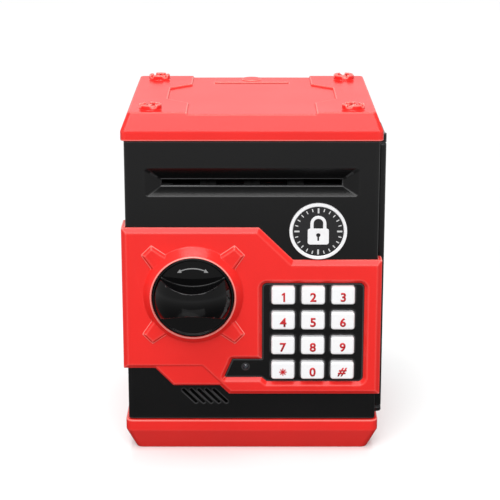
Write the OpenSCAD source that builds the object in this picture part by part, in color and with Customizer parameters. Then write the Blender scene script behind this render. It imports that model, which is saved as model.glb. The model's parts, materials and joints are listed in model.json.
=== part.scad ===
// Toy cash bank shaped as a small cash machine, with a motor bill feeder and a knob-bolted door.
// Millimetres. The origin is the centre of the base's underside, +Z up, the door faces -Y.

/* [Body] */
// Width of the body and door shells
shell_w = 127; // [126.4:0.1:127.4]
// Wall thickness of the body shell
body_wall = 2.2; // [1.8:0.1:2.4]
// Wall thickness of the door shell
door_wall = 2.4; // [2.2:0.1:2.6]
// Gap between the door's rear edge and the body
door_gap = 0.5; // [0.3:0.1:0.8]

/* [Lid and base] */
// Width of the lid and base rims
rim_w = 130; // [129:0.5:131]
// Depth of the lid and base rims
rim_d = 108; // [107:0.5:109]
// How far the base tapers in on each side
base_taper = 5; // [3:0.5:6]
// Length of the coin slot
coin_slot_len = 40; // [32:1:44]
// Width of the coin slot
coin_slot_w = 4.6; // [4.2:0.1:5.4]

/* [Door front] */
// Height of the red panel above the door shell
panel_proud = 3; // [2.8:0.1:3.2]
// Width of the bevel round the red panel
panel_bevel = 2.4; // [1.6:0.1:2.8]
// Length of the bill slot
bill_slot_len = 90; // [84:1:92]
// Height of the bill slot
bill_slot_h = 3; // [2.4:0.1:3.6]
// Diameter of the round badge
badge_d = 28.8; // [24:0.2:29]

/* [Knob and bolt] */
// Diameter of the knob's disc
knob_d = 41; // [40:0.1:41]
// Knob turn from unlocked to locked, in degrees
knob_turn = 75; // [60:1:75]
// Travel of the bolt
bolt_travel = 6.5; // [5:0.1:6.5]

/* [Keypad] */
// Width of a key cap
key_w = 11.8; // [11:0.1:12.2]
// Height of a key cap
key_h = 9.1; // [8.4:0.1:9.3]
// Distance between key columns
key_pitch_x = 15.1; // [14.8:0.1:15.3]
// Distance between key rows
key_pitch_z = 13.33; // [13:0.01:13.4]
// Height of a cap above the keypad plate
key_proud = 3.5; // [2.5:0.1:4]

/* [Bill feeder] */
// Radius of the feed and pinch tyres
tyre_r = 6; // [5.9:0.01:6.03]
// Teeth on the feed gear
feed_teeth = 30; // [30:1:30]
// Teeth on the motor pinion
pinion_teeth = 12; // [12:1:12]
// Gear module
gear_module = 0.5; // [0.5:0.01:0.5]

/* [Hidden] */
$fn = 48;
eps = 0.01;
red = [0.86, 0.09, 0.08];
black = [0.06, 0.06, 0.065];
white = [0.93, 0.93, 0.93];
steel = [0.62, 0.63, 0.65];
board_green = [0.05, 0.28, 0.12];
rubber_grey = [0.2, 0.2, 0.2];
brass_yellow = [0.75, 0.58, 0.25];
label_blue = [0.10, 0.22, 0.55];

// Levels along Z
base_top = 17;
base_shoulder = 11.3;
door_low = 17.4;
door_high = 164.0;
body_top = 164.4;
lid_shoulder = 169.1;
lid_top = 178.2;
field_drop = 1.0;
lid_inset = 3.7;

// Depths along Y
body_back = 52.5;
body_front = -28;
door_back = body_front - door_gap;
door_front = -52.5;
inner_front = door_front + door_wall;
panel_face = door_front - panel_proud;
cover_front = -30.9;
cover_back = -28.9;
cover_thick = cover_back - cover_front;

// Hinge
hinge_x = 65.0;
hinge_y = -40;
barrel_r = 2.5;
notch_r = 3.6;
pin_r = 1.5;
pin_bore_r = 1.56;
barrel_low = 19.9;
barrel_high = 160.5;
ear_low = [17.2, 19.6];
ear_high = [160.8, 165.6];
ear_x0 = 63.8;
ear_w = 3;
ear_reach = 26;
ear_pad = 13;

// Screws
pilot_r = 1.25;
head_r = 2.8;
head_h = 1.5;
base_screw_xy = [[-52, -22], [52, -22], [-52, 44], [52, 44]];
lid_screw_xy = [[-58, -14], [58, -14], [-58, 42], [58, 42]];
cover_screw_xz = [[-57, 24], [57, 24], [-57, 157], [57, 157]];
board_screw_xz = [[-5.5, 36.8], [58, 36.8], [-5.5, 92.5], [58, 92.5]];
main_screw_xz = [[-4, 99.5], [44, 99.5], [-4, 115], [44, 115]];
keeper_screw_z = [82, 89];

// Knob, cam and bolt
knob_x = -29.5;
knob_z = 85.4;
knob_r = knob_d / 2;
well_r = knob_r + 0.3;
well_floor = -53.5;
disc_face = -59.7;
disc_back = -54.0;
rim_front = -60.3;
rim_inner_r = 19.3;
dome_r = 22.2;
dome_y = -51.2;
waist = 11.7;
waist_cut_r = 30;
shaft_r = 4.5;
shaft_bore_r = 4.58;
shaft_end = -46;
cam_thick = 3;
cam_r = 18.5;
cam_key_r = 3;
cam_key_len = 1.5;
cam_key_flat = 2.2;
slot_r0 = 6.5;
slot_half = 1.7;
pin_radius = 1.5;
notch_w = 4.6;
notch_floor = 15.65;
bolt_y0 = -42.2;
bolt_y1 = -38.2;
bolt_z0 = 82.4;
bolt_z1 = 88.4;
bolt_tip_x = -54.1;
bolt_end_x = -33.2;
guide_gap = 0.3;
guide_rail = 2;
keeper_z = [79, 92];
plunger_r = 2;
plunger_tip = 104.3;
plunger_top = 122.5;
collar_z = 107.3;
collar_h = 0.8;
collar_r = 3;
solenoid_z = [111, 129];
solenoid_w = 16;
solenoid_back = -38.5;
plunger_y = -44.5;

// Keypad
pad_x = 30.9;
pad_top_z = 85.4;
plate_thick = 1.5;
plate_front = door_front - plate_thick;
mat_back = -46.8;
mat_thick = 1.5;
key_back = -49.5;
pcb_thick = 1.6;
led_x = -3.2;
led_z = 46.5;
led_r = 1.5;
opening_corners = [[56.8, 38.5], [56.8, 91.1], [5.2, 91.1], [5.2, 50.6],
                   [-9.9, 50.6], [-14.1, 40.7], [5.0, 40.7], [7.6, 38.5]];
opening_radii = [2.4, 2.4, 2.4, 0, 0.6, 0.6, 0, 0];
opening = rounded(opening_corners, opening_radii);
opening_bevel = 1.9;

// Red panel outlines, counter-clockwise
panel_half = 65.5;
panel_outline = [[panel_half, 31.4], [panel_half, 103.2], [20.7, 103.2], [3.6, 120],
                 [-panel_half, 120], [-panel_half, 45.5], [-26, 45.5], [-11.6, 31.4]];
step_outline = [[-53.8, 50], [-40.2, 36.1], [-12, 36.1], [-12, 50]];
step_height = 2.2;
step_bevel = 1.2;
left_wrap_back = -38.5;
right_wrap_back = -46;

// Bill slot and feeder
slot_z = 142;
recess_w = 107;
recess_h = [135.9, 150.5];
recess_depth = 5;
funnel_wall = 1.8;
throat_end = -46;
roller_y = -39.7;
nip_gap = 0.3;
roller_drop = tyre_r + nip_gap / 2;
feed_z = slot_z - roller_drop;
pinch_z = slot_z + roller_drop;
tyre_x = [-22, 0, 22];
tyre_w = 8;
gear_x = 54;
gear_w = 3.5;
gear_centres = gear_module * (feed_teeth + pinion_teeth) / 2;
motor_z = feed_z - gear_centres;
motor_r = 5;
frame_left = -50;
frame_right = 51;
frame_thick = 2;
frame_front = -45.9;
frame_back = -33;

// Batteries
cell_r = 7.1;
cell_len = 48.5;
cell_nub = 1.2;
cell_y = -35.2;
cell_z = [48.2, 63, 77.8];
tray_x = [2, 57];
tray_z = [38, 88];
tray_front = -43.8;
tray_wall = 1.2;
contact_thick = 0.4;
batt_cover_back = -25.4;

// ---- Geometry helpers ----

function unit(v) = v / norm(v);
function inward(a, b) = let (d = unit(b - a)) [-d[1], d[0]];

// A counter-clockwise outline moved inwards by d, with mitred corners
function inset(pts, d) = [
    for (i = [0:len(pts) - 1])
        let (n = len(pts))
        let (n1 = inward(pts[(i + n - 1) % n], pts[i]))
        let (n2 = inward(pts[i], pts[(i + 1) % n]))
        pts[i] + d * (n1 + n2) / (1 + n1 * n2)
];

// An outline with each corner rounded to its own radius, or left sharp at 0
function rounded(pts, radii, steps = 5) = [
    for (i = [0:len(pts) - 1])
        let (n = len(pts))
        let (a = unit(pts[(i + n - 1) % n] - pts[i]))
        let (b = unit(pts[(i + 1) % n] - pts[i]))
        let (half = acos(a * b) / 2)
        let (centre = pts[i] + unit(a + b) * radii[i] / sin(half))
        let (reach = radii[i] / tan(half))
        for (k = [0:radii[i] > 0 ? steps : 0])
            radii[i] > 0
                ? centre + radii[i] * unit((pts[i] + a * reach) * (1 - k / steps)
                                           + (pts[i] + b * reach) * k / steps - centre)
                : pts[i]
];

// Rounded rectangle outline about a centre
function rrect(w, h, r, c = [0, 0], steps = 5) = [
    for (q = [0:3])
        for (k = [0:steps])
            let (a = 90 * (q + k / steps))
            let (sx = (q == 0 || q == 3) ? 1 : -1)
            let (sy = (q < 2) ? 1 : -1)
            c + [sx * (w / 2 - r) + r * cos(a), sy * (h / 2 - r) + r * sin(a)]
];

// Outline with square corners at y0 and rounded ones at y1
function half_round(w, y0, y1, r, steps = 5) =
    let (s = (y1 > y0) ? 1 : -1)
    concat(
        [[-w / 2, y0], [w / 2, y0]],
        [for (k = [0:steps]) let (a = 90 * k / steps)
            [w / 2 - r + r * cos(a), y1 - s * r + s * r * sin(a)]],
        [for (k = [0:steps]) let (a = 90 + 90 * k / steps)
            [-w / 2 + r + r * cos(a), y1 - s * r + s * r * sin(a)]]
    );

// Solid through equal-length outlines at rising heights
module loft(rings, heights) {
    n = len(rings[0]);
    m = len(rings);
    polyhedron(
        points = [for (k = [0:m - 1]) for (p = rings[k]) [p[0], p[1], heights[k]]],
        faces = concat(
            [[for (i = [0:n - 1]) i]],
            [[for (i = [n - 1:-1:0]) (m - 1) * n + i]],
            [for (k = [0:m - 2]) for (i = [0:n - 1]) let (j = (i + 1) % n)
                [k * n + i, (k + 1) * n + i, (k + 1) * n + j, k * n + j]]
        )
    );
}

// Draws in the XZ plane at depth y: drawing height runs towards the front
module on_front(y) {
    translate([0, y, 0]) rotate([90, 0, 0]) children();
}

// Draws about a line parallel to X: drawing height runs towards +X
module along_x(x, y, z) {
    translate([x, y, z]) rotate([90, 0, 90]) children();
}

module block(x, y, z) {
    translate([x[0], y[0], z[0]]) cube([x[1] - x[0], y[1] - y[0], z[1] - z[0]]);
}

module rod_z(x, y, z0, z1, r) {
    translate([x, y, z0]) cylinder(r = r, h = z1 - z0);
}

module rod_y(x, z, y0, y1, r) {
    on_front(y1) translate([x, z, 0]) cylinder(r = r, h = y1 - y0);
}

module rod_x(y, z, x0, x1, r) {
    along_x(x0, y, z) cylinder(r = r, h = x1 - x0);
}

// Pan-head screw along +Z, the head's underside at 0
module screw(len, r = pilot_r, hr = head_r) {
    cross_w = 0.7;
    difference() {
        union() {
            translate([0, 0, -head_h]) cylinder(r1 = hr * 0.8, r2 = hr, h = head_h);
            translate([0, 0, -eps]) cylinder(r = r, h = len);
        }
        translate([-hr * 0.55, -cross_w / 2, -head_h - eps]) cube([hr * 1.1, cross_w, 0.7]);
        translate([-cross_w / 2, -hr * 0.55, -head_h - eps]) cube([cross_w, hr * 1.1, 0.7]);
    }
}

// Open coil spring of round wire standing on z = 0
module coil(mean_r, wire_r, height, turns, steps = 14, sides = 6) {
    n = ceil(turns * steps);
    rise = height - 2 * wire_r;
    polyhedron(
        points = [for (i = [0:n]) for (k = [0:sides - 1])
            let (a = 360 * turns * i / n)
            let (b = 360 * k / sides)
            let (r = mean_r + wire_r * cos(b))
            [r * cos(a), r * sin(a), wire_r + rise * i / n + wire_r * sin(b)]],
        faces = concat(
            [[for (k = [0:sides - 1]) k]],
            [[for (k = [sides - 1:-1:0]) n * sides + k]],
            [for (i = [0:n - 1]) for (k = [0:sides - 1]) let (j = (k + 1) % sides)
                [i * sides + k, (i + 1) * sides + k, (i + 1) * sides + j, i * sides + j]]
        )
    );
}

// Involute gear outline with stub teeth, one tooth centred on +X
function roll(a) = tan(a) * 180 / PI - a;
function tooth_half(r, rp, teeth) =
    let (rb = rp * cos(20))
    let (thin = 0.04)
    let (at_pitch = (PI * gear_module / 2 - 2 * thin) / (2 * rp) * 180 / PI)
    at_pitch + roll(20) - roll(acos(min(1, rb / max(r, rb))));
function gear_outline(teeth) =
    let (rp = gear_module * teeth / 2)
    let (root = rp - 1.1 * gear_module)
    let (tip = rp + 0.8 * gear_module)
    let (start = max(root, rp * cos(20)))
    let (rs = [root, start + eps, (start + rp) / 2, rp, (rp + tip) / 2, tip])
    [for (t = [0:teeth - 1]) for (side = [-1, 1]) for (k = [0:5])
        let (r = rs[side < 0 ? k : 5 - k])
        let (a = 360 * t / teeth + side * tooth_half(r, rp, teeth))
        [r * cos(a), r * sin(a)]];

// ---- Body ----

module ear(z) {
    h = z[1] - z[0];
    rod_z(hinge_x, hinge_y, z[0], z[1], barrel_r);
    translate([ear_x0, hinge_y, z[0]]) cube([ear_w, ear_reach, h]);
    translate([ear_x0 - 1, hinge_y + ear_pad, z[0]]) cube([ear_w, ear_reach - ear_pad, h]);
}

module body_shell() {
    inner_w = shell_w - 2 * body_wall;
    flange = 2.2;
    top_open = [110, 64];
    low_open = [94, 56];
    boss_r = 4;
    color(black)
    difference() {
        union() {
            translate([0, 0, base_top]) linear_extrude(body_top - base_top) difference() {
                polygon(half_round(shell_w, body_front, body_back, 3));
                polygon(half_round(inner_w, body_front - 1, body_back - body_wall, 1));
            }
            for (f = [[base_top, low_open], [body_top - flange, top_open]])
                translate([0, 0, f[0]]) linear_extrude(flange) difference() {
                    polygon(half_round(shell_w - 1, body_front, body_back - 0.5, 2.6));
                    translate([-f[1][0] / 2, -18]) square(f[1]);
                }
            for (p = base_screw_xy)
                rod_z(p[0], p[1], base_top, 30, boss_r);
            ear(ear_low);
            ear(ear_high);
        }
        for (p = base_screw_xy)
            rod_z(p[0], p[1], base_top - 1, 28, pilot_r);
        for (p = lid_screw_xy)
            rod_z(p[0], p[1], body_top - 4, body_top + 1, 1.4);
        rod_z(hinge_x, hinge_y, ear_high[0] - 1, ear_high[1] - 0.6, pin_r);
        rod_z(hinge_x, hinge_y, ear_low[0] + 0.4, ear_low[1] + 1, pin_r);
        for (z = keeper_screw_z)
            rod_x(-19, z, -63, -58, pilot_r);
    }
}

module lid_boss(angle) {
    boss_r = 5.6;
    boss_h = 2.6;
    slot = 2.4;
    cut = 1.5;
    rotate(angle) difference() {
        translate([0, 0, -0.5]) cylinder(r = boss_r, h = boss_h + 0.5);
        difference() {
            translate([0, 0, boss_h - cut]) cylinder(r = 3.5, h = cut + 1);
            translate([0, 0, boss_h - cut - 1]) cylinder(r = 2, h = cut + 0.6);
        }
        for (a = [0, 90])
            rotate(a) translate([-boss_r - 1, -slot / 2, boss_h - cut + 0.2])
                cube([2 * boss_r + 2, slot, cut + 1]);
    }
}

module lid() {
    boss_angles = [20, 62, 38, 5];
    boss_xy = [[-50.5, -41], [50.5, -41], [-50.5, 41], [50.5, 41]];
    top_w = rim_w - 2 * lid_inset;
    top_d = rim_d - 2 * lid_inset;
    field_z = lid_top - field_drop;
    far = rim_d;
    field = [[-32, -far], [32, -far], [32, -26], [43.2, -15.6], [43.2, 15.6], [32, 26], [32, far],
             [-32, far], [-32, 26], [-43.2, 15.6], [-43.2, -15.6], [-32, -26]];
    cavity_w = rim_w - 9.6;
    cavity_d = rim_d - 9.6;
    coin_y = 34;
    mark_y = 44.7;
    color(red)
    difference() {
        union() {
            difference() {
                loft([rrect(rim_w, rim_d, 2.5), rrect(rim_w, rim_d, 2.5), rrect(top_w, top_d, 2)],
                     [body_top, lid_shoulder, lid_top]);
                translate([0, 0, field_z]) linear_extrude(5) polygon(field);
                translate([0, 0, 166.8]) linear_extrude(8) polygon(rrect(cavity_w, cavity_d, 1.5));
                block([-cavity_w / 2, cavity_w / 2], [-26, cavity_d / 2], [body_top - 1, 168]);
            }
            for (p = lid_screw_xy)
                rod_z(p[0], p[1], body_top, 175, 3.4);
            for (i = [0:3])
                translate([boss_xy[i][0], boss_xy[i][1], lid_top]) lid_boss(boss_angles[i]);
            rod_z(0, mark_y, field_z - 0.5, field_z + 0.6, 5.3);
        }
        translate([-coin_slot_len / 2, coin_y - coin_slot_w / 2, 160])
            cube([coin_slot_len, coin_slot_w, 30]);
        for (p = lid_screw_xy)
            rod_z(p[0], p[1], body_top - 1, 173, pilot_r);
        rod_z(hinge_x, hinge_y, body_top - 1, ear_high[1] + 0.4, barrel_r + 0.4);
        block([ear_x0 - 1.4, 70], [hinge_y, hinge_y + ear_reach + 0.4],
              [body_top - 1, ear_high[1] + 0.4]);
    }
}

module base() {
    low_w = rim_w - 2 * base_taper;
    low_d = rim_d - 2 * base_taper;
    deck = 14;
    tower_r = 4.2;
    color(red)
    difference() {
        union() {
            difference() {
                loft([rrect(low_w, low_d, 3.4), rrect(rim_w, rim_d, 4), rrect(rim_w, rim_d, 4)],
                     [0, base_shoulder, base_top]);
                loft([rrect(low_w - 7, low_d - 7, 2), rrect(low_w - 6, low_d - 6, 2),
                      rrect(rim_w - 7, rim_d - 7, 2), rrect(rim_w - 7, rim_d - 7, 2)],
                     [-1, 0, base_shoulder, deck]);
            }
            for (p = base_screw_xy)
                rod_z(p[0], p[1], 3, deck + 1, tower_r);
        }
        for (p = base_screw_xy) {
            rod_z(p[0], p[1], -1, 9, 3.2);
            rod_z(p[0], p[1], 8, base_top + 1, 1.4);
        }
    }
}

module lid_screws() {
    color(steel) for (p = lid_screw_xy)
        translate([p[0], p[1], body_top - 2.2]) screw(10);
}

module base_screws() {
    color(steel) for (p = base_screw_xy)
        translate([p[0], p[1], 9]) screw(18);
}

module hinge_pin_upper() {
    color(steel) rod_z(hinge_x, hinge_y, 150.6, ear_high[1] - 0.6, pin_r);
}

module hinge_pin_lower() {
    color(steel) rod_z(hinge_x, hinge_y, ear_low[0] + 0.4, 30.4, pin_r);
}

module latch_keeper() {
    color(steel)
    difference() {
        union() {
            block([-61.3, -57], [-26, -12], keeper_z);
            block([-59, -57], [-45, -26], keeper_z);
        }
        block([-60, -56], [-42.8, -37.6], [81.5, 89.5]);
        for (z = keeper_screw_z)
            rod_x(-19, z, -62, -56, pilot_r);
    }
}

module keeper_screws() {
    color(steel) for (z = keeper_screw_z)
        translate([-57, -19, z]) rotate([0, -90, 0]) screw(5.6);
}

// ---- Door ----

// Round bill funnel outlines: the recess at the front, the throat at the back
function funnel_ring(grow, t) =
    let (w = recess_w + (bill_slot_len + 2 - recess_w) * t)
    let (low = recess_h[0] + (slot_z - bill_slot_h / 2 - 0.6 - recess_h[0]) * t)
    let (high = recess_h[1] + (slot_z + bill_slot_h / 2 + 0.6 - recess_h[1]) * t)
    rrect(w + 2 * grow, high - low + 2 * grow, 2 - 1.2 * t + grow, [0, (low + high) / 2]);

module door_shell() {
    post_r = 3.2;
    boss_r = 2;
    depth = recess_depth;
    color(black)
    difference() {
        union() {
            difference() {
                translate([0, 0, door_low]) linear_extrude(door_high - door_low)
                    mirror([0, 1]) polygon(half_round(shell_w, -door_back, -door_front, 2));
                block([-shell_w / 2 + door_wall, shell_w / 2 - door_wall],
                      [inner_front, door_back + 1], [door_low + door_wall, door_high - door_wall]);
            }
            for (p = cover_screw_xz)
                rod_y(p[0], p[1], inner_front - 0.4, cover_front, post_r);
            for (p = board_screw_xz)
                rod_y(p[0], p[1], inner_front - 0.4, mat_back, boss_r);
            for (p = main_screw_xz)
                rod_y(p[0], p[1], inner_front - 0.4, -41.6, boss_r);
            on_front(throat_end) loft(
                [funnel_ring(funnel_wall, 1), funnel_ring(funnel_wall, 1), funnel_ring(funnel_wall, 0.44)],
                [0, throat_end - door_front - depth, throat_end - inner_front + 0.2]);
            rod_y(knob_x, knob_z, inner_front - 0.4, shaft_end - 0.4, 8);
            for (z = [78.4, 92.6])
                rod_y(-51.4, z, inner_front - 0.4, -44, 1.2);
            rod_z(hinge_x, hinge_y, barrel_low, barrel_high, barrel_r);
        }
        rod_z(hinge_x, hinge_y, 150, barrel_high + 1, pin_bore_r);
        rod_z(hinge_x, hinge_y, barrel_low - 1, 31, pin_bore_r);
        rod_z(hinge_x, hinge_y, door_low - 1, barrel_low, notch_r);
        rod_z(hinge_x, hinge_y, barrel_high, door_high + 1, notch_r);
        rod_y(knob_x, knob_z, door_front - 1, shaft_end + 1, shaft_bore_r);
        block([5.5, 56.5], [door_front - 1, inner_front + 1], [39, 91]);
        rod_y(led_x, led_z, door_front - 1, inner_front + 1, led_r + 0.2);
        on_front(door_front + depth) loft(
            [funnel_ring(0, 1), funnel_ring(0, 0), funnel_ring(0, 0)], [0, depth, depth + 1]);
        block([-bill_slot_len / 2, bill_slot_len / 2], [door_front, throat_end + 1],
              [slot_z - bill_slot_h / 2, slot_z + bill_slot_h / 2]);
        for (i = [0:4])
            on_front(inner_front + 1) translate([-35.5 + 3.9 * i, 33.5, 0]) rotate(-45)
                translate([0, -0.7, 0]) cube([10.3, 1.4, 5]);
        for (p = cover_screw_xz)
            rod_y(p[0], p[1], cover_front - 12, cover_front + 1, pilot_r);
        for (p = board_screw_xz)
            rod_y(p[0], p[1], inner_front, mat_back + 1, 0.9);
        for (p = main_screw_xz)
            rod_y(p[0], p[1], -47, -40, 0.9);
    }
}

module door_panel() {
    $fn = 96;
    tab = [[20, -5.9], [33, -3.5], [33, 3.5], [20, 5.9]];
    bezel_top_r = 21.4;
    bezel_top = 8.4;
    bezel_slope = 0.72;
    bezel_low = 0.5;
    bezel_low_r = bezel_top_r + bezel_slope * (bezel_top - bezel_low);
    floor_h = door_front - well_floor;
    shoulder = 1;
    color(red)
    difference() {
        union() {
            on_front(door_front) difference() {
                union() {
                    loft([panel_outline, panel_outline, inset(panel_outline, panel_bevel)],
                         [0, shoulder, panel_proud]);
                    loft([step_outline, step_outline, inset(step_outline, step_bevel)],
                         [0, step_height - step_bevel, step_height]);
                    for (k = [0:3])
                        translate([knob_x, knob_z, 0]) rotate(45 + 90 * k)
                            loft([tab, tab, inset(tab, 1.2)],
                                 [1.5, panel_proud + 0.2, panel_proud + 1.5]);
                }
                translate([knob_x, knob_z, floor_h]) cylinder(r = well_r + 2, h = 12);
            }
            on_front(door_front) translate([knob_x, knob_z, 0]) rotate_extrude()
                polygon([[well_r, bezel_low], [bezel_low_r, bezel_low],
                         [bezel_top_r, bezel_top], [well_r, bezel_top]]);
            block([-panel_half, -shell_w / 2], [door_front - shoulder / 2, left_wrap_back],
                  [45.5, 120]);
            block([shell_w / 2, panel_half], [door_front - shoulder / 2, right_wrap_back],
                  [31.4, 103.2]);
        }
        on_front(door_front) {
            loft([opening, opening, inset(opening, -opening_bevel), inset(opening, -opening_bevel)],
                 [-1, panel_proud - opening_bevel, panel_proud, panel_proud + 3]);
            translate([knob_x, knob_z, -1]) cylinder(r = shaft_r + 0.6, h = 12);
        }
    }
}

function key_xz(col, row) = [pad_x + (col - 1) * key_pitch_x, pad_top_z - row * key_pitch_z];

module keypad_plate() {
    key_gap = 0.3;
    color(black)
    on_front(door_front) difference() {
        linear_extrude(plate_thick) polygon(inset(opening, 0.15));
        for (col = [0:2]) for (row = [0:3])
            translate([0, 0, -1]) linear_extrude(plate_thick + 2)
                polygon(rrect(key_w + 2 * key_gap, key_h + 2 * key_gap, 1.5, key_xz(col, row)));
        translate([led_x, led_z, -1]) cylinder(r = led_r + 0.05, h = plate_thick + 2);
    }
}

module badge() {
    disc_h = 1.2;
    relief = 0.6;
    color(white)
    on_front(door_front) translate([33.2, 118.2, 0]) difference() {
        union() {
            cylinder(r = badge_d / 2, h = disc_h);
            difference() {
                cylinder(r = badge_d / 2, h = disc_h + relief);
                translate([0, 0, disc_h - eps]) cylinder(r = badge_d / 2 - 1.4, h = relief + 1);
            }
            linear_extrude(disc_h + relief) polygon(rrect(10.6, 8.2, 1.2, [0, -2.6]));
            difference() {
                linear_extrude(disc_h + relief) difference() {
                    polygon(rrect(8, 11, 3.9, [0, 2.6]));
                    polygon(rrect(4.8, 8, 2.3, [0, 2.6]));
                }
            }
        }
        translate([0, -1.9, disc_h]) cylinder(r = 1.1, h = 2);
        translate([-0.45, -4.9, disc_h]) cube([0.9, 3, 2]);
    }
}

module indicator_led() {
    board_front = mat_back;
    color([0.75, 0.85, 0.9])
    on_front(board_front) translate([led_x, led_z, 0]) {
        cylinder(r = led_r, h = 7.6);
        translate([0, 0, 7.6 - eps]) cylinder(r1 = led_r, r2 = led_r * 0.55, h = 0.8);
    }
}

module keypad_mat() {
    color(rubber_grey)
    on_front(mat_back) {
        linear_extrude(mat_thick) polygon(rrect(49.6, 55, 2, [pad_x, 65.4]));
        for (col = [0:2]) for (row = [0:3])
            translate([key_xz(col, row)[0], key_xz(col, row)[1], mat_thick - eps])
                cylinder(r1 = 4.2, r2 = 3.2, h = mat_back - key_back - mat_thick);
    }
}

module keypad_board() {
    color(board_green)
    difference() {
        block([-8, 60.5], [mat_back, mat_back + pcb_thick], [34.5, 95]);
        for (p = board_screw_xz)
            rod_y(p[0], p[1], mat_back - 1, mat_back + 5, 0.9);
    }
}

module board_screws() {
    color(steel) {
        for (p = board_screw_xz)
            translate([p[0], mat_back + pcb_thick, p[1]]) rotate([90, 0, 0])
                small_screw(4.6);
        for (p = main_screw_xz)
            translate([p[0], -40, p[1]]) rotate([90, 0, 0])
                small_screw(6);
    }
}

module small_screw(len) {
    translate([0, 0, -0.9]) cylinder(r = 1.8, h = 0.9);
    translate([0, 0, -eps]) cylinder(r = 0.9, h = len);
}

module main_board() {
    color(board_green)
    difference() {
        block([-8, 48], [-41.6, -40], [96.5, 118]);
        for (p = main_screw_xz)
            rod_y(p[0], p[1], -43, -39, 0.9);
    }
}

module board_parts() {
    color(black) {
        block([6, 20], [-40, -38.2], [102, 111]);
        block([27, 33], [-40, -38.6], [99, 103]);
        block([-6, 2], [-40, -35], [103, 111]);
        block([10, 26], [-40, -34.5], [113, 117]);
        for (x = [29, 37])
            rod_y(x, 110, -40, -33.6, 2.6);
        rod_y(25, 104.5, -40, -36.5, 1.6);
    }
}

module speaker() {
    sx = -26;
    sz = 33;
    color(rubber_grey)
    difference() {
        union() {
            rod_y(sx, sz, inner_front, -48, 12.5);
            on_front(-44.5) translate([sx, sz, 0]) cylinder(r1 = 8, r2 = 11.5, h = 3.6);
            rod_y(sx, sz, -44.6, -40, 7);
        }
        on_front(-46.2) translate([sx, sz, 0]) cylinder(r1 = 3, r2 = 10.4, h = 3.91);
    }
}

module lock_solenoid() {
    half = solenoid_w / 2;
    coil_z = [solenoid_z[0] + 2, solenoid_z[1] - 2];
    color(steel)
    difference() {
        union() {
            difference() {
                block([knob_x - half, knob_x + half], [inner_front, solenoid_back], solenoid_z);
                block([knob_x - half - 1, knob_x + half + 1], [inner_front + 1.2, solenoid_back + 1],
                      coil_z);
            }
            rod_z(knob_x, plunger_y, coil_z[0] - 1, coil_z[1] + 1, 4.0);
        }
        rod_z(knob_x, plunger_y, solenoid_z[0] - 1, solenoid_z[1] - 3, plunger_r + 0.06);
    }
}

module lock_spring() {
    color(steel)
    translate([knob_x, plunger_y, collar_z + collar_h + 0.05])
        coil(2.7, 0.25, solenoid_z[0] - collar_z - collar_h - 0.1, 3);
}

module bolt_guide() {
    foot_x = [-53.4, -49.4];
    chan_x = [-53.4, -33.8];
    back = -36.4;
    plate = bolt_y1 + guide_gap;
    z0 = bolt_z0 - guide_gap;
    z1 = bolt_z1 + guide_gap;
    color(steel)
    difference() {
        union() {
            block(foot_x, [inner_front, back], [76, 95]);
            block(chan_x, [-42.4, back], [z0 - guide_rail, z1 + guide_rail]);
        }
        block([-54, -33], [-42.5, plate], [z0, z1]);
        for (z = [78.4, 92.6])
            rod_y(-51.4, z, inner_front - 1, -44, 1.2);
    }
}

module feeder_frame() {
    plate_z = [118, 157];
    bore = pin_bore_r;
    color(rubber_grey)
    difference() {
        union() {
            for (x = [frame_left, frame_right]) {
                block([x, x + frame_thick], [frame_front, frame_back], plate_z);
                block([x, x + frame_thick], [inner_front, frame_front + 1], [114, 131.5]);
            }
            block([frame_left, frame_right + frame_thick], [-44, -35], [155.4, 157]);
        }
        for (z = [feed_z, pinch_z])
            rod_x(roller_y, z, frame_left - 1, frame_right + frame_thick + 1, bore);
        rod_x(roller_y, motor_z, frame_right - 1, frame_right + frame_thick + 1, 1.5);
    }
}

module feed_motor() {
    color(steel)
    difference() {
        union() {
            rod_x(roller_y, motor_z, 28, frame_right, motor_r);
            rod_x(roller_y, motor_z, 26.4, 28.1, 2);
        }
        rod_x(roller_y, motor_z, 43, frame_right + 1, 1.06);
    }
}

module bill_sensor() {
    color(black)
    difference() {
        block([frame_left + frame_thick, -40], [-45.8, -42], [136, 148]);
        block([-45.8, -39], [-46, -41], [slot_z - 1.6, slot_z + 1.6]);
    }
}

module door_back_cover() {
    exit_w = 92;
    color(black)
    difference() {
        union() {
            block([-60.8, 60.8], [cover_front, cover_back], [20.1, 161.3]);
            block(tray_x, [tray_front, cover_front + 1], tray_z);
            rod_y(29.5, 92, -36, cover_front + 1, 3);
        }
        block([tray_x[0] + tray_wall, tray_x[1] - tray_wall],
              [tray_front + tray_wall, cover_back + 1],
              [tray_z[0] + tray_wall, tray_z[1] - tray_wall]);
        block([-exit_w / 2, exit_w / 2], [cover_front - 1, cover_back + 1], [137.5, 146.5]);
        block([-62, -54], [cover_front - 1, cover_back + 1], [77.5, 93.5]);
        for (p = cover_screw_xz)
            rod_y(p[0], p[1], cover_front - 1, cover_back + 1, 1.4);
        rod_y(29.5, 92, -35, cover_back + 1, pilot_r);
    }
}

module cover_screws() {
    color(steel) for (p = cover_screw_xz)
        translate([p[0], cover_back, p[1]]) rotate([90, 0, 0]) screw(11);
}

module battery_cover() {
    skin = 1.4;
    x = [1, 58];
    z = [37, 89];
    color(black)
    difference() {
        union() {
            block(x, [cover_back, batt_cover_back], z);
            block([24.5, 34.5], [cover_back, cover_back + 1.5], [88, 96]);
        }
        block([x[0] + skin, x[1] - skin], [cover_back - 1, batt_cover_back - 1.5],
              [z[0] + skin, z[1] - skin]);
        rod_y(29.5, 92, cover_back - 1, cover_back + 3, 1.4);
        for (i = [0:4])
            block([18, 41], [batt_cover_back - 0.5, batt_cover_back + 1], [42 + 3 * i, 43.2 + 3 * i]);
    }
}

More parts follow.
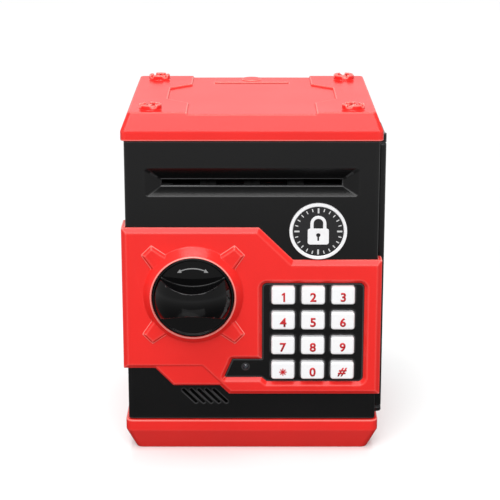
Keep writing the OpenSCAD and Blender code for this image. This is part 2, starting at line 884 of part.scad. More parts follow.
module battery_cover_screw() {
    color(steel) translate([29.5, cover_back + 1.5, 92]) rotate([90, 0, 0]) screw(7);
}

module batteries() {
    x0 = tray_x[0] + tray_wall + contact_thick;
    x1 = tray_x[1] - tray_wall - contact_thick;
    total = cell_len + cell_nub;
    color(label_blue)
    for (i = [0:2]) {
        flip = i % 2 == 0;
        start = flip ? x1 - total : x0 + cell_nub;
        rod_x(cell_y, cell_z[i], start, start + cell_len, cell_r);
        if (flip)
            rod_x(cell_y, cell_z[i], x1 - cell_nub - 0.2, x1, 2.7);
        else
            rod_x(cell_y, cell_z[i], x0, x0 + cell_nub + 0.2, 2.7);
    }
}

module battery_contacts() {
    color(steel)
    for (x = [tray_x[0] + tray_wall, tray_x[1] - tray_wall - contact_thick]) for (z = cell_z)
        block([x, x + contact_thick], [cell_y - 5, cell_y + 5], [z - 6, z + 6]);
}

module battery_springs() {
    x0 = tray_x[0] + tray_wall + contact_thick;
    x1 = tray_x[1] - tray_wall - contact_thick;
    gap = x1 - x0 - cell_len - cell_nub;
    color(steel)
    for (i = [0:2])
        along_x(i % 2 == 0 ? x0 : x1 - gap, cell_y, cell_z[i]) coil(3, 0.3, gap, 2);
}

// ---- Knob, cam, bolt and plunger ----

module knob() {
    color(black)
    difference() {
        union() {
            rod_y(knob_x, knob_z, disc_face, disc_back, knob_r);
            difference() {
                rod_y(knob_x, knob_z, rim_front, disc_back, knob_r);
                rod_y(knob_x, knob_z, rim_front - 1, disc_face, rim_inner_r);
            }
            intersection() {
                translate([knob_x, dome_y, knob_z]) sphere(r = dome_r);
                rod_y(knob_x, knob_z, -80, disc_face + 0.5, knob_r - 1.4);
                difference() {
                    block([knob_x - 22, knob_x + 22], [-80, disc_face + 0.5],
                          [knob_z - 14, knob_z + 14]);
                    for (s = [-1, 1])
                        rod_y(knob_x, knob_z + s * (waist_cut_r + waist / 2), -81, disc_face + 1,
                              waist_cut_r);
                }
            }
            rod_y(knob_x, knob_z, disc_back - 1, shaft_end, shaft_r);
            intersection() {
                rod_y(knob_x, knob_z, shaft_end - 1, shaft_end + cam_key_len, cam_key_r);
                block([knob_x - 5, knob_x + cam_key_flat], [shaft_end - 1, shaft_end + 4],
                      [knob_z - 5, knob_z + 5]);
            }
        }
        rod_y(knob_x, knob_z, shaft_end - 7, shaft_end + 4, pilot_r);
        difference() {
            rod_y(knob_x, knob_z, disc_back - 3.5, disc_back + 1, 18);
            rod_y(knob_x, knob_z, disc_back - 4, disc_back + 2, 7);
        }
    }
}

function slot_centre(t) =
    let (a = 180 - knob_turn * t)
    (slot_r0 + bolt_travel * t) * [cos(a), sin(a)];
function slot_dir(t) = unit(slot_centre(t + 0.01) - slot_centre(t - 0.01));
function turned(v, a) = [v[0] * cos(a) - v[1] * sin(a), v[0] * sin(a) + v[1] * cos(a)];
function cam_slot() = concat(
    [for (i = [0:24]) slot_centre(i / 24) + slot_half * turned(slot_dir(i / 24), -90)],
    [for (a = [-75:15:75]) slot_centre(1) + slot_half * turned(slot_dir(1), a)],
    [for (i = [24:-1:0]) slot_centre(i / 24) + slot_half * turned(slot_dir(i / 24), 90)],
    [for (a = [105:15:255]) slot_centre(0) + slot_half * turned(slot_dir(0), a)]
);

module cam_disc() {
    color(white)
    on_front(shaft_end + cam_thick) translate([knob_x, knob_z, 0]) difference() {
        cylinder(r = cam_r, h = cam_thick);
        translate([0, 0, -1]) linear_extrude(cam_thick + 2) polygon(cam_slot());
        for (a = [90, 90 - knob_turn])
            rotate(a) translate([notch_floor, -notch_w / 2, -1]) cube([10, notch_w, cam_thick + 2]);
        translate([0, 0, cam_thick - cam_key_len]) intersection() {
            cylinder(r = cam_key_r, h = cam_key_len + 1);
            translate([-5, -5, -1]) cube([5 + cam_key_flat, 10, 5]);
        }
        translate([0, 0, -1]) cylinder(r = 1.4, h = cam_thick + 2);
    }
}

module cam_screw() {
    color(steel) translate([knob_x, shaft_end + cam_thick, knob_z]) rotate([90, 0, 0]) screw(9);
}

module latch_bolt() {
    color(steel)
    difference() {
        union() {
            block([bolt_tip_x, bolt_end_x], [bolt_y0, bolt_y1], [bolt_z0, bolt_z1]);
            rod_y(knob_x - slot_r0, knob_z, -45.6, bolt_y0 + 0.5, pin_radius);
        }
        for (s = [-1, 1])
            translate([bolt_tip_x, (bolt_y0 + bolt_y1) / 2, (bolt_z0 + bolt_z1) / 2])
                mirror([0, s > 0 ? 0 : 1, 0]) translate([0, 2, 0]) rotate(45)
                    cube([1.6, 1.6, 8], center = true);
    }
}

module lock_plunger() {
    color(steel) {
        rod_z(knob_x, plunger_y, plunger_tip, plunger_top, plunger_r);
        rod_z(knob_x, plunger_y, collar_z, collar_z + collar_h, collar_r);
    }
}

// ---- Bill feeder ----

module tyres(z) {
    groove = 0.5;
    for (x = tyre_x)
        difference() {
            rod_x(roller_y, z, x - tyre_w / 2, x + tyre_w / 2, tyre_r);
            rod_x(roller_y, z, x - tyre_w, x + tyre_w, pin_r);
            difference() {
                rod_x(roller_y, z, x - 0.8, x + 0.8, tyre_r + 1);
                rod_x(roller_y, z, x - 2, x + 2, tyre_r - groove);
            }
        }
}

module feed_shaft() {
    color(steel) rod_x(roller_y, feed_z, frame_left - 2, gear_x + gear_w + 0.5, pin_r);
}

module feed_tyres() {
    color(rubber_grey) tyres(feed_z);
}

module feed_gear() {
    color(white)
    difference() {
        union() {
            along_x(gear_x, roller_y, feed_z) rotate(-90) linear_extrude(gear_w)
                polygon(gear_outline(feed_teeth));
        }
        rod_x(roller_y, feed_z, gear_x - 1, gear_x + gear_w + 1, pin_r);
        for (a = [0:60:300])
            along_x(gear_x - 1, roller_y, feed_z) rotate(a) translate([4.4, 0, 0])
                cylinder(r = 1.1, h = gear_w + 2);
    }
}

module pinch_shaft() {
    color(steel) rod_x(roller_y, pinch_z, frame_left - 2, frame_right + frame_thick + 1.5, pin_r);
}

module pinch_tyres() {
    color(rubber_grey) tyres(pinch_z);
}

module motor_pinion() {
    color(brass_yellow) {
        along_x(gear_x, roller_y, motor_z) rotate(90 + 180 / pinion_teeth) linear_extrude(gear_w)
            polygon(gear_outline(pinion_teeth));
        rod_x(roller_y, motor_z, 43.5, gear_x + gear_w + 0.5, 1);
    }
}

// ---- Keys ----

module key(col, row) {
    cap_top = key_back - (plate_front - key_proud);
    edge = 0.6;
    cap = rrect(key_w, key_h, 1.3, key_xz(col, row));
    color(white)
    on_front(key_back) {
        linear_extrude(1.8) polygon(rrect(8, 5.5, 0.8, key_xz(col, row)));
        translate([0, 0, 1.7]) linear_extrude(1) polygon(rrect(13.4, 10.6, 1.6, key_xz(col, row)));
        loft([cap, cap, inset(cap, edge)], [2.6, cap_top - edge, cap_top]);
    }
}

body_shell();
lid();
base();
lid_screws();
base_screws();
hinge_pin_upper();
hinge_pin_lower();
latch_keeper();
keeper_screws();
door_shell();
door_panel();
keypad_plate();
badge();
indicator_led();
keypad_mat();
keypad_board();
board_screws();
main_board();
board_parts();
speaker();
lock_solenoid();
lock_spring();
bolt_guide();
feeder_frame();
feed_motor();
bill_sensor();
door_back_cover();
cover_screws();
battery_cover();
battery_cover_screw();
batteries();
battery_contacts();
battery_springs();
knob();
cam_disc();
cam_screw();
latch_bolt();
lock_plunger();
feed_shaft();
feed_tyres();
feed_gear();
pinch_shaft();
pinch_tyres();
motor_pinion();
key(0, 0);  // key_1
key(1, 0);  // key_2
key(2, 0);  // key_3
key(0, 1);  // key_4
key(1, 1);  // key_5
key(2, 1);  // key_6
key(0, 2);  // key_7
key(1, 2);  // key_8
key(2, 2);  // key_9
key(0, 3);  // key_star
key(1, 3);  // key_0
key(2, 3);  // key_hash
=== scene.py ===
"""Looks for the toy savings bank: materials, printed marks, light and camera."""

import json
import math

import bpy
import bmesh
from mathutils import Matrix, Vector


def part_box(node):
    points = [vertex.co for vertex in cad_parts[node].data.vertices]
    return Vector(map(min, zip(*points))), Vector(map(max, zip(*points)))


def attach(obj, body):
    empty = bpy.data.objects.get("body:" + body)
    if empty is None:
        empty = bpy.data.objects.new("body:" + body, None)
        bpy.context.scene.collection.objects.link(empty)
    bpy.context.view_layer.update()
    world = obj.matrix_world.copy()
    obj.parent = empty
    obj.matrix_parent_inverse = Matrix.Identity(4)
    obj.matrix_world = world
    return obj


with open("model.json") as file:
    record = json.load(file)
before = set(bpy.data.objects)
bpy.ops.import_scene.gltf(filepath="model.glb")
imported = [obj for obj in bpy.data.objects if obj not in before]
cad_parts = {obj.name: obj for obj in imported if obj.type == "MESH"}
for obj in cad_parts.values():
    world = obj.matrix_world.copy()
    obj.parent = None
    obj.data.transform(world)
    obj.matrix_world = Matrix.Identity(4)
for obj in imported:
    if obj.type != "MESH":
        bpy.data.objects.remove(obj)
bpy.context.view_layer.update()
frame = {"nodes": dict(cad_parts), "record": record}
NODES = frame["nodes"]
RECORD = frame["record"]
MM = 0.001
SLOT_OF = {s["node"]: s["material_slot"] for s in RECORD["subparts"]}


# ---------------------------------------------------------------- materials
class Graph:
    """A node material with short calls for making and linking nodes."""

    def __init__(self, name):
        self.mat = bpy.data.materials.new(name)
        self.mat.use_nodes = True
        self.tree = self.mat.node_tree
        self.tree.nodes.clear()
        self.out = self.tree.nodes.new("ShaderNodeOutputMaterial")
        self.bsdf = self.tree.nodes.new("ShaderNodeBsdfPrincipled")
        self.tree.links.new(self.bsdf.outputs[0], self.out.inputs[0])
        self.coord = self.tree.nodes.new("ShaderNodeTexCoord").outputs["Object"]

    def set(self, **values):
        for key, value in values.items():
            self.bsdf.inputs[key.replace("_", " ")].default_value = value
        return self

    def link(self, source, node, socket):
        self.tree.links.new(source, node.inputs[socket])

    def noise(self, scale, detail=3.0, rough=0.5, stretch=None):
        """Noise in object space, with scale in cycles a metre."""
        node = self.tree.nodes.new("ShaderNodeTexNoise")
        node.inputs["Scale"].default_value = scale
        node.inputs["Detail"].default_value = detail
        node.inputs["Roughness"].default_value = rough
        source = self.coord
        if stretch:
            mapping = self.tree.nodes.new("ShaderNodeMapping")
            mapping.inputs["Scale"].default_value = stretch
            self.link(source, mapping, "Vector")
            source = mapping.outputs[0]
        self.link(source, node, "Vector")
        return node.outputs["Fac"]

    def spread(self, source, low, high, start=0.3, end=0.7):
        """Maps start..end of the source to low..high; noise fills about 0.3 to 0.7."""
        node = self.tree.nodes.new("ShaderNodeMapRange")
        node.inputs["From Min"].default_value = start
        node.inputs["From Max"].default_value = end
        node.inputs["To Min"].default_value = low
        node.inputs["To Max"].default_value = high
        self.link(source, node, "Value")
        return node.outputs["Result"]

    def math(self, kind, a, b):
        node = self.tree.nodes.new("ShaderNodeMath")
        node.operation = kind
        for i, v in enumerate((a, b)):
            if isinstance(v, (int, float)):
                node.inputs[i].default_value = v
            else:
                self.tree.links.new(v, node.inputs[i])
        return node.outputs[0]

    def mix(self, factor, a, b):
        """Blends two colours, each a tuple or a socket."""
        node = self.tree.nodes.new("ShaderNodeMix")
        node.data_type = "RGBA"
        factor_in, first_in, second_in, color_out = 0, 6, 7, 2
        for socket, value in ((factor_in, factor), (first_in, a), (second_in, b)):
            if isinstance(value, (int, float)):
                node.inputs[socket].default_value = value
            elif isinstance(value, (tuple, list)):
                node.inputs[socket].default_value = (*value[:3], 1.0)
            else:
                self.tree.links.new(value, node.inputs[socket])
        return node.outputs[color_out]

    def edges(self, distance):
        """How close a point is to an outside edge, from 0 on a flat to about 0.5 on a sharp corner."""
        node = self.tree.nodes.new("ShaderNodeAmbientOcclusion")
        node.samples = EDGE_SAMPLES
        node.inside = True
        node.only_local = True
        node.inputs["Distance"].default_value = distance
        return self.math("SUBTRACT", 1.0, node.outputs["AO"])

    def bump(self, source, strength, distance):
        """Relief from a height source, with the distance in metres."""
        node = self.tree.nodes.new("ShaderNodeBump")
        node.inputs["Strength"].default_value = strength
        node.inputs["Distance"].default_value = distance
        self.link(source, node, "Height")
        self.link(node.outputs[0], self.bsdf, "Normal")


# Painted highlight along outside edges: how far the edge mask reaches, where it starts and where it is
# full, and its strongest mix.
HIGHLIGHT_REACH = 0.0009
HIGHLIGHT_START, HIGHLIGHT_FULL, HIGHLIGHT_MOST = 0.03, 0.27, 0.9
EDGE_SAMPLES = 16
FINE_GRAIN, BRUSHING, TRACKS, SLEEVE_WEAR, COARSE_GRAIN = 0.00003, 0.00004, 0.00004, 0.00005, 0.00006
BAND_CREAM = (0.62, 0.60, 0.55)


def shade(color, k):
    """The colour made lighter or darker, up to white."""
    return tuple(min(1.0, c * k) for c in color[:3])


def moulded(name, color, rough, grain=0.04, spec=0.5, edge_highlight=None):
    """Injection-moulded plastic: faint flow mottling, fine grain, uneven gloss and a painted highlight
    that lightens outside edges.
    """
    g = Graph(name).set(Specular_IOR_Level=spec)
    flow = g.noise(28.0, 3.0, 0.5, (1.0, 1.0, 0.45))
    fine = g.noise(2600.0, 2.0, 0.5)
    body = g.mix(g.spread(flow, 0.0, 1.0), shade(color, 0.95), shade(color, 1.05))
    body = g.mix(g.spread(fine, 0.0, 0.35), body, shade(color, 0.9))
    if edge_highlight:
        # Painted highlight: outside edges are mixed toward a paler colour, standing in for light
        # caught on their rounded edges.
        highlight_mask = g.spread(g.edges(HIGHLIGHT_REACH), 0.0, HIGHLIGHT_MOST, HIGHLIGHT_START, HIGHLIGHT_FULL)
        body = g.mix(highlight_mask, body, edge_highlight)
    g.link(body, g.bsdf, "Base Color")
    gloss = g.spread(g.noise(34.0, 1.0, 0.4), rough - 0.015, rough + 0.02)
    g.link(gloss, g.bsdf, "Roughness")
    g.bump(fine, grain, FINE_GRAIN)
    return g.mat


def metal(name, color, rough):
    """Plated or turned metal: directional brushing and slight tarnish."""
    g = Graph(name).set(Metallic=1.0)
    brush = g.noise(700.0, 3.0, 0.6, (1.0, 40.0, 1.0))
    tarnish = g.noise(140.0, 4.0, 0.6)
    g.link(g.mix(g.spread(tarnish, 0.0, 0.5), color, shade(color, 0.72)), g.bsdf, "Base Color")
    g.link(g.math("ADD", g.spread(brush, rough - 0.06, rough + 0.08), g.spread(tarnish, 0.0, 0.1)),
           g.bsdf, "Roughness")
    g.bump(brush, 0.12, BRUSHING)
    return g.mat


def soft_rubber(name, color):
    """Matt rubber with fine grain and a little dust."""
    g = Graph(name).set(Specular_IOR_Level=0.2)
    dust = g.noise(320.0, 5.0, 0.65)
    fine = g.noise(3200.0, 2.0, 0.6)
    g.link(g.mix(g.spread(dust, 0.0, 0.5), color, shade(color, 2.4)), g.bsdf, "Base Color")
    g.link(g.spread(dust, 0.62, 0.82), g.bsdf, "Roughness")
    g.bump(fine, 0.35, COARSE_GRAIN)
    return g.mat


def circuit(name, color):
    """Solder-masked board: copper runs under the mask, from a brick pattern."""
    g = Graph(name).set(Specular_IOR_Level=0.5)
    quarter_turn = (math.radians(90), 0, 0)
    brick = g.tree.nodes.new("ShaderNodeTexBrick")
    brick.inputs["Scale"].default_value = 260.0
    brick.inputs["Mortar Size"].default_value = 0.09
    brick.inputs["Brick Width"].default_value = 1.7
    brick.inputs["Row Height"].default_value = 0.42
    turn = g.tree.nodes.new("ShaderNodeMapping")
    turn.inputs["Rotation"].default_value = quarter_turn
    g.link(g.coord, turn, "Vector")
    g.link(turn.outputs[0], brick, "Vector")
    runs = brick.outputs["Fac"]
    blotch = g.noise(120.0, 3.0, 0.5)
    base = g.mix(g.spread(blotch, 0.0, 1.0), shade(color, 0.85), shade(color, 1.15))
    g.link(g.mix(g.math("MULTIPLY", runs, 0.55), base, shade(color, 2.1)), g.bsdf, "Base Color")
    g.link(g.spread(blotch, 0.3, 0.45), g.bsdf, "Roughness")
    g.bump(runs, 0.5, TRACKS)
    return g.mat


def cell_sleeve(name, color):
    """Battery sleeve with a light band at one end, divided along the cell."""
    g = Graph(name).set(Specular_IOR_Level=0.6)
    split = g.tree.nodes.new("ShaderNodeSeparateXYZ")
    g.link(g.coord, split, 0)
    shift, cell_pitch, band_start = 0.004, 0.034, 0.0265
    along = g.math("PINGPONG", g.math("ADD", split.outputs[0], shift), cell_pitch)
    band = g.math("GREATER_THAN", along, band_start)
    wear = g.noise(400.0, 4.0, 0.6)
    paint = g.mix(g.spread(wear, 0.0, 0.4), color, shade(color, 0.7))
    g.link(g.mix(band, paint, BAND_CREAM), g.bsdf, "Base Color")
    g.link(g.spread(wear, 0.22, 0.34), g.bsdf, "Roughness")
    g.bump(wear, 0.08, SLEEVE_WEAR)
    return g.mat


def lens(name):
    """Dark clear lens of the indicator light."""
    g = Graph(name).set(Transmission_Weight=0.55, IOR=1.5, Specular_IOR_Level=0.6)
    fine = g.noise(900.0, 2.0, 0.5)
    tint = g.mix(g.spread(fine, 0.0, 1.0), (0.03, 0.035, 0.045), (0.06, 0.07, 0.09))
    g.link(tint, g.bsdf, "Base Color")
    g.link(g.spread(fine, 0.05, 0.12), g.bsdf, "Roughness")
    g.bump(fine, 0.03, FINE_GRAIN)
    return g.mat


def ink(name, color, rough=0.42):
    """Pad-printed ink: slightly uneven cover."""
    g = Graph(name).set(Specular_IOR_Level=0.45)
    cover = g.noise(1500.0, 3.0, 0.6)
    g.link(g.mix(g.spread(cover, 0.0, 0.5), color, shade(color, 0.82)), g.bsdf, "Base Color")
    g.link(g.spread(cover, rough - 0.06, rough + 0.06), g.bsdf, "Roughness")
    g.bump(cover, 0.12, FINE_GRAIN)
    return g.mat


MATERIALS = {
    # red_abs and black_abs carry a painted edge highlight, pale pink on the red and dark grey on the
    # black.
    "red_abs": moulded("red_abs", (0.80, 0.020, 0.016), 0.25, spec=0.34, edge_highlight=(1.0, 0.30, 0.26)),
    "black_abs": moulded("black_abs", (0.0026, 0.0026, 0.0028), 0.24, spec=0.34,
                         edge_highlight=(0.050, 0.050, 0.052)),
    "knob_black": moulded("knob_black", (0.0012, 0.0012, 0.0014), 0.07, grain=0.004, spec=0.32),
    "key_white": moulded("key_white", (0.86, 0.86, 0.87), 0.34, grain=0.02),
    "badge_white": moulded("badge_white", (0.84, 0.84, 0.85), 0.28, grain=0.02),
    "led_lens": lens("led_lens"),
    "steel": metal("steel", (0.58, 0.58, 0.60), 0.30),
    "board_green": circuit("board_green", (0.020, 0.16, 0.055)),
    "chip_black": moulded("chip_black", (0.020, 0.020, 0.021), 0.5, grain=0.2),
    "rubber": soft_rubber("rubber", (0.006, 0.006, 0.006)),
    "frame_grey": moulded("frame_grey", (0.10, 0.10, 0.11), 0.48, grain=0.1),
    "gear_white": moulded("gear_white", (0.74, 0.72, 0.66), 0.42),
    "brass": metal("brass", (0.72, 0.50, 0.19), 0.25),
    "cell_wrap": cell_sleeve("cell_wrap", (0.035, 0.10, 0.36)),
}
CONE_BLACK = moulded("cone_black", (0.003, 0.003, 0.003), 0.6, grain=0.2, spec=0.1)
INK_RED = ink("ink_red", (0.56, 0.006, 0.012))
INK_WHITE = ink("ink_white", (0.62, 0.62, 0.62))
INK_GREY = ink("ink_grey", (0.30, 0.30, 0.30))
ENAMEL_BLACK = ink("enamel_black", (0.012, 0.012, 0.013), 0.22)


# ---------------------------------------------------------------- CAD nodes
EDGE_MM = {
    "lid": 0.45, "base": 0.5, "door_panel": 0.3, "body_shell": 0.4, "door_shell": 0.45,
    "keypad_plate": 0.15, "knob": 0.35, "door_back_cover": 0.4, "battery_cover": 0.5,
}
DEFAULT_EDGE_MM = 0.12
KEY_EDGE_MM = 0.28
SHARP_DEG = 20
FLAT_DEG = 0.3
EDGE_SEGMENTS = 3
WELD_M = 2e-6
FACE_WEIGHT = 60
RETRIANGULATED = {"door_panel"}
NO_BEVEL = {"batteries", "battery_springs", "lock_spring", "indicator_led", "speaker"}


def finish_node(name, obj):
    """Welds the imported shell, rounds its hard edges and evens its normals."""
    obj.data.materials.clear()
    obj.data.materials.append(CONE_BLACK if name == "speaker" else MATERIALS[SLOT_OF[name]])
    for face in obj.data.polygons:
        face.use_smooth = True
    weld = obj.modifiers.new("weld", "WELD")
    weld.merge_threshold = WELD_M
    if name in RETRIANGULATED:
        flats = obj.modifiers.new("flats", "DECIMATE")
        flats.decimate_type = "DISSOLVE"
        flats.angle_limit = math.radians(FLAT_DEG)
        obj.modifiers.new("triangles", "TRIANGULATE")
    if name not in NO_BEVEL:
        width = KEY_EDGE_MM if name.startswith("key_") else EDGE_MM.get(name, DEFAULT_EDGE_MM)
        bevel = obj.modifiers.new("edge", "BEVEL")
        bevel.width = width * MM
        bevel.segments = EDGE_SEGMENTS
        bevel.limit_method = "ANGLE"
        bevel.angle_limit = math.radians(SHARP_DEG)
        bevel.miter_outer = "MITER_SHARP"
        bevel.loop_slide = False
        bevel.use_clamp_overlap = False
    even = obj.modifiers.new("even", "WEIGHTED_NORMAL")
    even.keep_sharp = True
    even.weight = FACE_WEIGHT


for node_name, node_obj in NODES.items():
    finish_node(node_name, node_obj)


# ---------------------------------------------------------------- printed marks
def add_mesh(name, verts, faces, material, body):
    """A new piece from its vertices in metres, riding on a body."""
    mesh = bpy.data.meshes.new(name)
    mesh.from_pydata([Vector(v) for v in verts], [], faces)
    mesh.validate()
    obj = bpy.data.objects.new(name, mesh)
    bpy.context.scene.collection.objects.link(obj)
    mesh.materials.append(material)
    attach(obj, body)
    return obj


def flat_prism(name, outline, y_back, y_front, material, body):
    """A thin plate in the XZ plane from y_back to y_front, outline in millimetres."""
    n = len(outline)
    verts = [(x * MM, y * MM, z * MM) for y in (y_back, y_front) for x, z in outline]
    sides = [(i, (i + 1) % n, n + (i + 1) % n, n + i) for i in range(n)]
    faces = [tuple(range(n - 1, -1, -1)), tuple(range(n, 2 * n)), *sides]
    obj = add_mesh(name, verts, faces, material, body)
    bm = bmesh.new()
    bm.from_mesh(obj.data)
    bmesh.ops.recalc_face_normals(bm, faces=bm.faces)
    bm.to_mesh(obj.data)
    bm.free()
    return obj


def font_outline(sign):
    """A flat mesh of one built-in glyph, thickened and with the hash slanted."""
    curve = bpy.data.curves.new("glyph", "FONT")
    curve.body = sign
    curve.size = 1.0
    curve.resolution_u = 6
    curve.offset = LEGEND_WEIGHT
    curve.shear = HASH_SLANT if sign == "#" else 0.0
    source = bpy.data.objects.new("glyph", curve)
    bpy.context.scene.collection.objects.link(source)
    bpy.context.view_layer.update()
    graph = bpy.context.evaluated_depsgraph_get()
    mesh = bpy.data.meshes.new_from_object(source.evaluated_get(graph))
    bpy.data.objects.remove(source)
    return mesh


def polygon_mesh(points):
    """A flat mesh with one face."""
    mesh = bpy.data.meshes.new("glyph")
    mesh.from_pydata([(x, y, 0) for x, y in points], [], [tuple(range(len(points)))])
    return mesh


def star_points(arms, reach, half, waist):
    """An asterisk: arms with parallel sides that meet at a small waist."""
    points = []
    for k in range(arms):
        a = math.radians(90 + 360 * k / arms)
        along, across = (math.cos(a), math.sin(a)), (-math.sin(a), math.cos(a))
        for side in (-1, 1):
            points.append((reach * along[0] + side * half * across[0],
                           reach * along[1] + side * half * across[1]))
        between = a + math.radians(180 / arms)
        points.append((waist * math.cos(between), waist * math.sin(between)))
    return points


LEGENDS = {"key_star": "*", "key_hash": "#"}
LEGEND_HEIGHT = {"key_star": 3.8, "key_hash": 4.6}
DIGIT_HEIGHT = 4.8
LEGEND_WEIGHT = 0.030
LEGEND_DROP = 0.6
LEGEND_LIFT = 0.04
LEGEND_THICK = 0.12
HASH_SLANT = 0.35
ONE = [(0.0, 0.0), (0.19, 0.0), (0.19, 1.0), (0.05, 1.0), (-0.19, 0.80), (-0.12, 0.67), (0.0, 0.76)]


def legend(name, sign, x, z, y_front, height, body):
    """One printed key legend, centred on (x, z) in millimetres and standing 0.1 mm proud."""
    if sign == "1":
        mesh = polygon_mesh(ONE)
    elif sign == "*":
        mesh = polygon_mesh(star_points(arms=8, reach=1.0, half=0.15, waist=0.36))
    else:
        mesh = font_outline(sign)
    xs = [v.co.x for v in mesh.vertices]
    ys = [v.co.y for v in mesh.vertices]
    scale = height / (max(ys) - min(ys)) * MM
    mid = Vector(((max(xs) + min(xs)) / 2, (max(ys) + min(ys)) / 2, 0))
    place = (Matrix.Translation(Vector((x, y_front - LEGEND_LIFT, z)) * MM)
             @ Matrix.Rotation(math.radians(90), 4, "X")
             @ Matrix.Scale(scale, 4) @ Matrix.Translation(-mid))
    mesh.transform(place)
    mesh.materials.clear()
    obj = bpy.data.objects.new(name, mesh)
    bpy.context.scene.collection.objects.link(obj)
    mesh.materials.append(INK_RED)
    solid = obj.modifiers.new("cover", "SOLIDIFY")
    solid.thickness = LEGEND_THICK * MM
    solid.offset = 0
    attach(obj, body)


for node_name in sorted(n for n in NODES if n.startswith("key_")):
    low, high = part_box(node_name)
    middle = (low + high) / 2 / MM
    legend("legend_" + node_name, LEGENDS.get(node_name, node_name[-1]),
           middle.x, middle.z - LEGEND_DROP, low.y / MM,
           LEGEND_HEIGHT.get(node_name, DIGIT_HEIGHT), "body_" + node_name)

# Turning mark on the knob's floor: a curved double arrow above the grip
KNOB_X, KNOB_Z, KNOB_FLOOR = -29.5, 85.4, -59.7
MARK_R, MARK_HALF, MARK_SPAN, HEAD_SPAN, HEAD_HALF = 15.2, 0.26, 23, 8, 1.0
MARK_STEPS = 24
MARK_SUNK, MARK_PROUD = 0.01, 0.04


def polar(x, z, r, deg):
    """A point at radius r from (x, z), in millimetres."""
    a = math.radians(deg)
    return x + r * math.cos(a), z + r * math.sin(a)


def knob_point(r, deg):
    """A point round the knob's centre, with 0 degrees straight up."""
    return polar(KNOB_X, KNOB_Z, r, 90 + deg)


def arrow_head(way):
    """The head at one end of the mark, from its inner to its outer corner."""
    return [knob_point(MARK_R - HEAD_HALF, way * MARK_SPAN),
            knob_point(MARK_R, way * (MARK_SPAN + HEAD_SPAN)),
            knob_point(MARK_R + HEAD_HALF, way * MARK_SPAN)]


sweep = [MARK_SPAN * (2 * i / MARK_STEPS - 1) for i in range(MARK_STEPS + 1)]
mark = [knob_point(MARK_R - MARK_HALF, deg) for deg in sweep]
mark += arrow_head(1)
mark += [knob_point(MARK_R + MARK_HALF, deg) for deg in reversed(sweep)]
mark += reversed(arrow_head(-1))
flat_prism("knob_mark", mark, KNOB_FLOOR + MARK_SUNK, KNOB_FLOOR - MARK_PROUD, INK_GREY, "knob")

# Badge: black enamel field with a ring of dial ticks round the raised padlock
BADGE_X, BADGE_Z, BADGE_FACE = 33.2, 118.2, -53.7
FIELD_R, FIELD_STEP_DEG = 12.75, 5
FIELD_SUNK, FIELD_PROUD, TICK_SUNK, TICK_PROUD = 0.02, 0.08, 0.07, 0.13
TICKS, TICKS_A_QUARTER, TICK_OUTER = 24, 6, 12.0
LONG_TICK = {"inner": 9.4, "half": 0.42}
SHORT_TICK = {"inner": 10.4, "half": 0.26}


def tick_outline(turn, inner, half):
    """A radial bar of the dial, turned by an angle in radians."""
    points = []
    for r, s in ((inner, -half), (TICK_OUTER, -half), (TICK_OUTER, half), (inner, half)):
        points.append((BADGE_X + r * math.cos(turn) - s * math.sin(turn),
                       BADGE_Z + r * math.sin(turn) + s * math.cos(turn)))
    return points


field = [polar(BADGE_X, BADGE_Z, FIELD_R, deg) for deg in range(0, 360, FIELD_STEP_DEG)]
flat_prism("badge_field", field, BADGE_FACE + FIELD_SUNK, BADGE_FACE - FIELD_PROUD, ENAMEL_BLACK,
           "door")
for i in range(TICKS):
    size = SHORT_TICK if i % TICKS_A_QUARTER else LONG_TICK
    flat_prism(f"badge_tick_{i:02d}", tick_outline(math.radians(i * 360 / TICKS), **size),
               BADGE_FACE - TICK_SUNK, BADGE_FACE - TICK_PROUD, INK_WHITE, "door")


# ---------------------------------------------------------------- stage, light, camera
FLOOR_SIZE = 6.0
FLOOR_PALE, FLOOR_PALER, FLOOR_BOUNCE = (0.80, 0.80, 0.80), (0.82, 0.82, 0.82), (0.26, 0.26, 0.26)
MIRROR_NEAR, MIRROR_FAR = (0.03, 0.03, 0.03), (0.55, 0.55, 0.55)
BLACK, WHITE = (0, 0, 0), (1, 1, 1)


def stage_floor():
    """A pale glossy floor that reflects darker close to the object, and glows a little far out."""
    mesh = bpy.data.meshes.new("floor")
    size = FLOOR_SIZE
    mesh.from_pydata([(-size, -size, 0), (size, -size, 0), (size, size, 0), (-size, size, 0)], [],
                     [(0, 1, 2, 3)])
    floor = bpy.data.objects.new("floor", mesh)
    bpy.context.scene.collection.objects.link(floor)
    g = Graph("floor_white").set(Specular_IOR_Level=1.0)
    faint = g.noise(6.0, 2.0, 0.5)
    seen = g.mix(g.spread(faint, 0.0, 1.0), FLOOR_PALE, FLOOR_PALER)
    path = g.tree.nodes.new("ShaderNodeLightPath")
    place = g.tree.nodes.new("ShaderNodeNewGeometry")
    away = g.tree.nodes.new("ShaderNodeVectorMath")
    away.operation = "LENGTH"
    g.link(place.outputs["Position"], away, 0)
    distance = away.outputs["Value"]
    mirrored = g.mix(g.spread(distance, 0.0, 1.0, start=0.12, end=0.70), MIRROR_NEAR, MIRROR_FAR)
    bounce = g.mix(path.outputs["Is Glossy Ray"], FLOOR_BOUNCE, mirrored)
    g.link(g.mix(path.outputs["Is Camera Ray"], bounce, seen), g.bsdf, "Base Color")
    g.link(g.mix(path.outputs["Is Glossy Ray"], WHITE, BLACK), g.bsdf, "Emission Color")
    g.link(g.spread(distance, 0.11, 0.32, start=0.25, end=1.5), g.bsdf, "Emission Strength")
    g.link(g.spread(faint, 0.10, 0.14), g.bsdf, "Roughness")
    mesh.materials.append(g.mat)


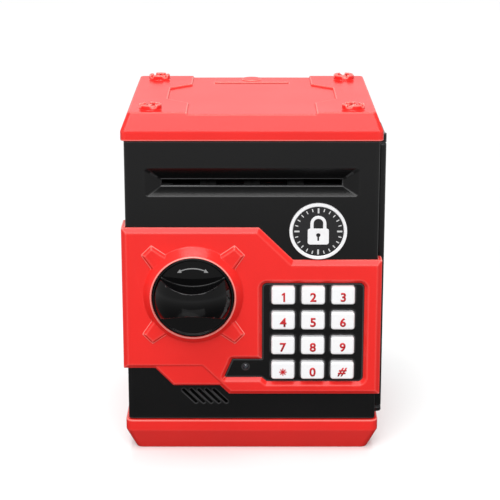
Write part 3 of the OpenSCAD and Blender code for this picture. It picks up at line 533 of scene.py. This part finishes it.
def softbox(name, place, aim, size, power):
    """A rectangular light in watts, aimed at a point and unseen by the camera."""
    light = bpy.data.lights.new(name, "AREA")
    light.shape = "RECTANGLE"
    light.size, light.size_y = size
    light.energy = power
    obj = bpy.data.objects.new(name, light)
    bpy.context.scene.collection.objects.link(obj)
    obj.location = place
    obj.rotation_mode = "QUATERNION"
    obj.rotation_quaternion = (Vector(aim) - Vector(place)).to_track_quat("-Z", "Y")
    obj.visible_camera = False


def sun(name, azimuth, elevation, spread_deg, power):
    """Even light from a wide disc in the sky; azimuth 0 comes from the front."""
    light = bpy.data.lights.new(name, "SUN")
    light.energy = power
    light.angle = math.radians(spread_deg)
    obj = bpy.data.objects.new(name, light)
    bpy.context.scene.collection.objects.link(obj)
    obj.rotation_euler = (math.radians(90 - elevation), 0, math.radians(azimuth))


def studio_world(seen, cast):
    """White behind the object, and a dimmer even grey for light and reflections."""
    world = bpy.data.worlds.new("studio")
    world.use_nodes = True
    nodes, links = world.node_tree.nodes, world.node_tree.links
    back = nodes["Background"]
    back.inputs["Color"].default_value = (1.0, 1.0, 1.0, 1.0)
    path = nodes.new("ShaderNodeLightPath")
    level = nodes.new("ShaderNodeMapRange")
    level.inputs["To Min"].default_value = cast
    level.inputs["To Max"].default_value = seen
    links.new(path.outputs["Is Camera Ray"], level.inputs["Value"])
    links.new(level.outputs["Result"], back.inputs["Strength"])
    bpy.context.scene.world = world


stage_floor()
centre = Vector((0, 0, 0.09))
sun("key_sky", azimuth=-16, elevation=60, spread_deg=50, power=1.95)
softbox("lid_sheen", (0.0, 1.50, 0.72), centre, size=(2.0, 0.5), power=1.9)
softbox("front_high", (0.0, -1.30, 0.92), centre, size=(1.6, 0.55), power=10.0)
softbox("overhead", (0.0, -0.10, 1.30), centre, size=(0.9, 0.25), power=4.0)
studio_world(seen=1.0, cast=0.48)
bpy.context.scene.view_settings.view_transform = "Standard"

PITCH_DEG = 14.48
camera = bpy.data.cameras.new("camera")
camera.sensor_width = 36.0
camera.lens = 111.84
camera.shift_y = -0.12
camera.clip_start = 0.01
eye = bpy.data.objects.new("camera", camera)
bpy.context.scene.collection.objects.link(eye)
eye.location = (-0.00093, -0.800, 0.3323)
eye.rotation_euler = (math.radians(90 - PITCH_DEG), 0, 0)
bpy.context.scene.camera = eye
